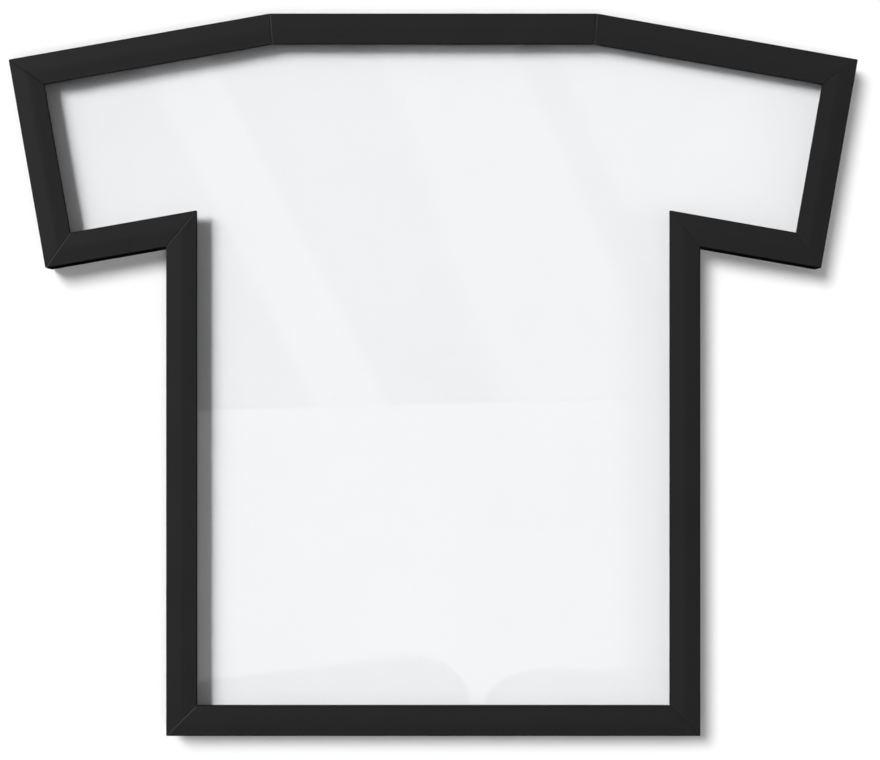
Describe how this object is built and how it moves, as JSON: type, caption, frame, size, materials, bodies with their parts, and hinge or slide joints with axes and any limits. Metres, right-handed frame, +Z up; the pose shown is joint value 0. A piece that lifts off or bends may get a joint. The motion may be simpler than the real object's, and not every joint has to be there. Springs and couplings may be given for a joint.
{
  "type": "shirt-shaped display frame",
  "caption": "Wall-hung display case in the outline of a short-sleeved shirt, with a clear front, a white mounting board and a lift-out back.",
  "frame": {"origin": "on the wall plane, midway between the two hanging rings, at the height where the wall hooks bear", "axes": "+X to the right as seen from the front, +Y from the front towards the wall, +Z up"},
  "size_m": [0.83, 0.0319, 0.706],
  "materials": {
    "moulding": "satin",
    "spacer": "matte",
    "glazing": "gloss",
    "shirt_board": "matte",
    "hook_and_loop": "matte",
    "back_board": "matte",
    "tab_steel": "satin",
    "nail_steel": "satin",
    "hanger_plate": "satin",
    "hanger_wire": "satin",
    "screw_steel": "satin",
    "bumper": "matte"
  },
  "bodies": {
    "frame": {"bottom_rail": "moulding", "bottom_spacer": "spacer", "corner_v_nails": "nail_steel", "front_glazing": "glazing", "hanger_screws": "screw_steel", "left_cuff_rail": "moulding", "left_cuff_spacer": "spacer", "left_hanger_strap": "hanger_plate", "left_shoulder_rail": "moulding", "left_shoulder_spacer": "spacer", "left_side_rail": "moulding", "left_side_spacer": "spacer", "left_underarm_rail": "moulding", "left_underarm_spacer": "spacer", "retaining_tabs": "tab_steel", "right_cuff_rail": "moulding", "right_cuff_spacer": "spacer", "right_hanger_strap": "hanger_plate", "right_shoulder_rail": "moulding", "right_shoulder_spacer": "spacer", "right_side_rail": "moulding", "right_side_spacer": "spacer", "right_underarm_rail": "moulding", "right_underarm_spacer": "spacer", "top_rail": "moulding", "top_spacer": "spacer", "wall_bumpers": "bumper"},
    "back_panel": {"back_board": "back_board", "hook_and_loop_pads": "hook_and_loop", "shirt_board": "shirt_board"},
    "left_ring": {"left_hanger_ring": "hanger_wire"},
    "right_ring": {"right_hanger_ring": "hanger_wire"}
  },
  "joints": [
    {"name": "back_panel_lift", "type": "slide", "parent": "frame", "child": "back_panel", "axis": [0, 1, 0], "range_m": [0, 0.06], "deforming": ["retaining_tabs"]},
    {"name": "left_ring_swing", "type": "hinge", "parent": "frame", "child": "left_ring", "pos_m": [-0.12, -0.00215, -0.0095], "axis": [-1, 0, 0], "range_deg": [0, 180]},
    {"name": "right_ring_swing", "type": "hinge", "parent": "frame", "child": "right_ring", "pos_m": [0.12, -0.00215, -0.0095], "axis": [-1, 0, 0], "range_deg": [0, 180]}
  ]
}
